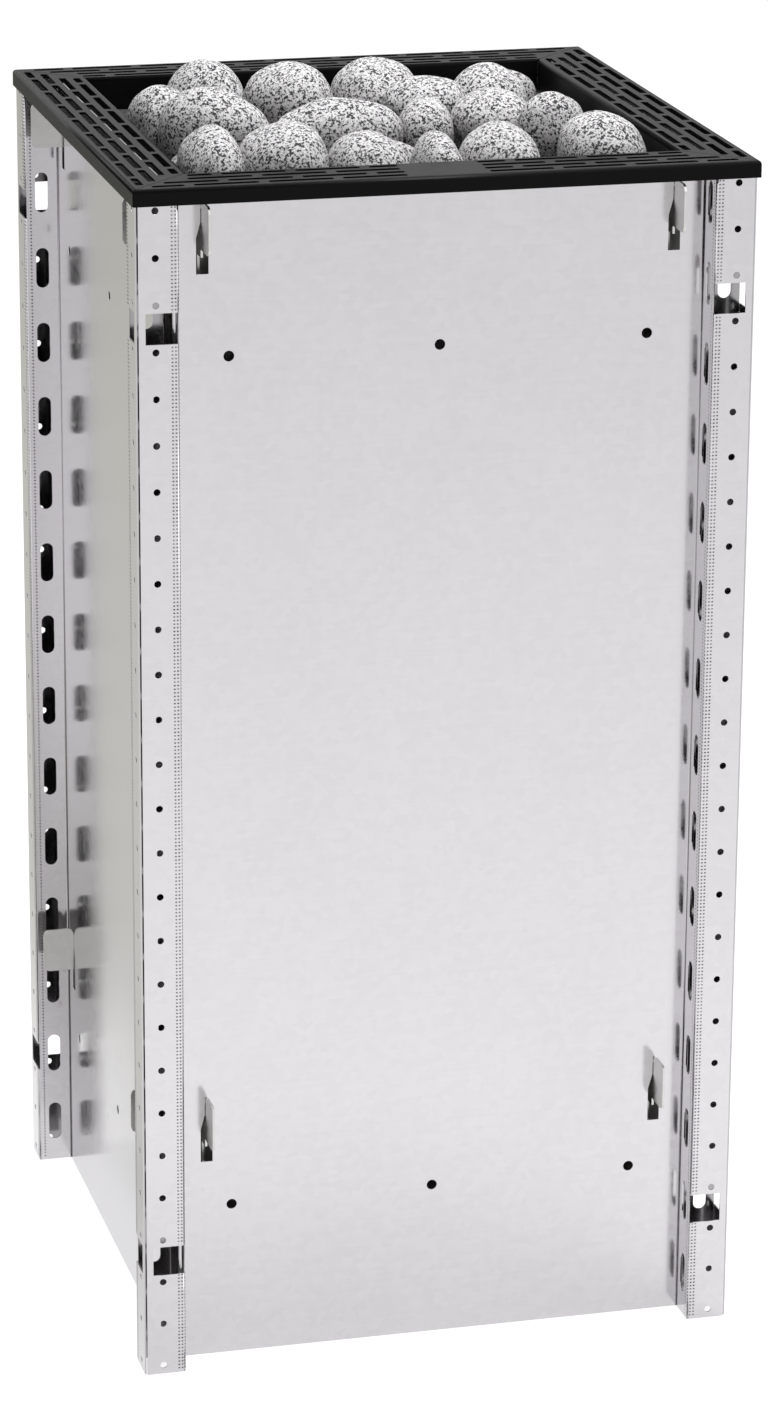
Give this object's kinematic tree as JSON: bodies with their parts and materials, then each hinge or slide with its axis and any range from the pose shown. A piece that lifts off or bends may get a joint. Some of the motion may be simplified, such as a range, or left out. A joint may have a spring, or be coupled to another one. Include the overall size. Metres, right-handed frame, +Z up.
{
  "type": "sauna heater stove",
  "caption": "Free-standing electric sauna stove: open galvanised casing with perforated corner posts, lift-off black slotted rim, stone container with grate, elements and terminal box.",
  "frame": {"origin": "middle of the footprint, on the floor", "axes": "+Z up, the front panel faces -Y, +X to the right seen from the front"},
  "size_m": [0.407, 0.407, 0.8222],
  "materials": {
    "galvanised_casing": "galvanised sheet, satin, with a faint spangle",
    "container_steel": "aluminised sheet, dull",
    "black_rim": "black powder coat, fine texture",
    "grate_steel": "dark heat-stained steel",
    "element_tube": "heat-stained stainless tube",
    "inner_plate": "galvanised sheet, satin",
    "terminal_ceramic": "unglazed cream ceramic",
    "gland_plastic": "black nylon",
    "granite": "rounded granite, white and grey with black specks"
  },
  "bodies": {
    "stove": {"front_casing": "galvanised_casing", "right_casing": "galvanised_casing", "back_casing": "galvanised_casing", "left_casing": "galvanised_casing", "front_container_wall": "container_steel", "right_container_wall": "container_steel", "back_container_wall": "container_steel", "left_container_wall": "container_steel", "stone_grate": "grate_steel", "front_grate_rail": "container_steel", "back_grate_rail": "container_steel", "heating_element_1": "element_tube", "heating_element_2": "element_tube", "heating_element_3": "element_tube", "heating_element_4": "element_tube", "heating_element_5": "element_tube", "heating_element_6": "element_tube", "element_plate": "inner_plate", "element_spacer": "inner_plate", "base_pan": "inner_plate", "terminal_box": "inner_plate", "terminal_cover": "inner_plate", "terminal_block": "terminal_ceramic", "cable_gland": "gland_plastic", "gland_nut": "gland_plastic", "lower_stone_1": "granite", "lower_stone_2": "granite", "lower_stone_3": "granite", "lower_stone_4": "granite", "lower_stone_5": "granite", "lower_stone_6": "granite", "lower_stone_7": "granite", "lower_stone_8": "granite", "lower_stone_9": "granite", "top_stone_01": "granite", "top_stone_02": "granite", "top_stone_03": "granite", "top_stone_04": "granite", "top_stone_05": "granite", "top_stone_06": "granite", "top_stone_07": "granite", "top_stone_08": "granite", "top_stone_09": "granite", "top_stone_10": "granite", "top_stone_11": "granite", "top_stone_12": "granite", "top_stone_13": "granite", "top_stone_14": "granite", "top_stone_15": "granite", "top_stone_16": "granite", "top_stone_17": "granite", "top_stone_18": "granite", "top_stone_19": "granite", "top_stone_20": "granite", "top_stone_21": "granite", "top_stone_22": "granite"},
    "rim": {"front_rim": "black_rim", "right_rim": "black_rim", "back_rim": "black_rim", "left_rim": "black_rim"}
  },
  "joints": [
    {"name": "rim_lift", "type": "slide", "parent": "stove", "child": "rim", "axis": [0, 0, 1], "range_m": [0, 0.06]}
  ]
}
